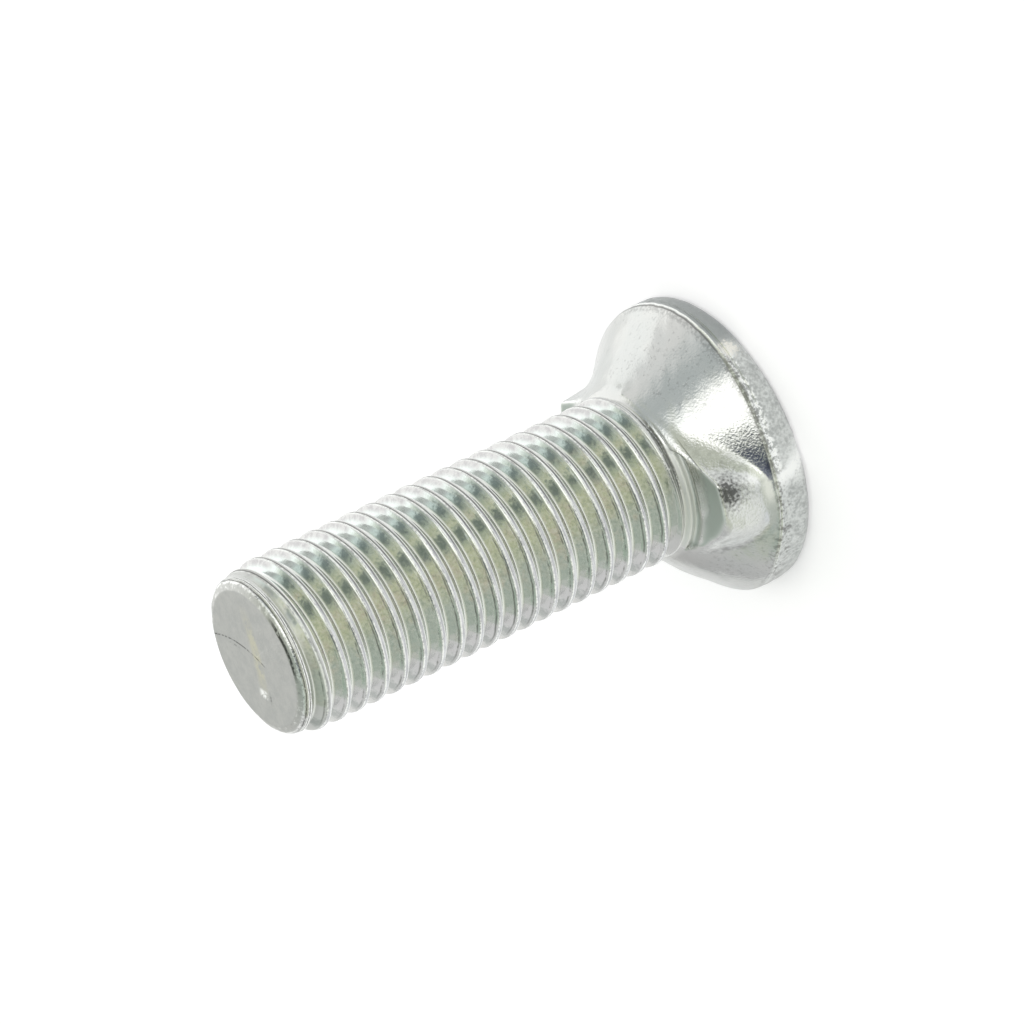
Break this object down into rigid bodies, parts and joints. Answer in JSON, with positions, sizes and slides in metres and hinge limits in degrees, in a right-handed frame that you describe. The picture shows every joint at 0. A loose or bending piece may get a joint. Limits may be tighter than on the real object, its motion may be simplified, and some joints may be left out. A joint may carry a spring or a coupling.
{
  "type": "plow bolt",
  "caption": "Flat-headed countersunk plow bolt with a cone under the rim, two opposed nibs that stop it turning, and a coarse metric thread along the whole shank.",
  "frame": {"origin": "centre of the flat head face, which the bolt stands on", "axes": "+Z along the bolt's axis, from the head face to the thread's tip; +X through one nib, with the other nib on -X; +Y between them, on the side of both crisp flanks"},
  "size_m": [0.028, 0.028, 0.05],
  "materials": {
    "zinc_plated_steel": "bright zinc plating with a faint yellow-green and blue passivation tint, soft gloss over a forged and rolled surface"
  },
  "bodies": {
    "root": {"plow_bolt": "zinc_plated_steel"}
  },
  "joints": []
}
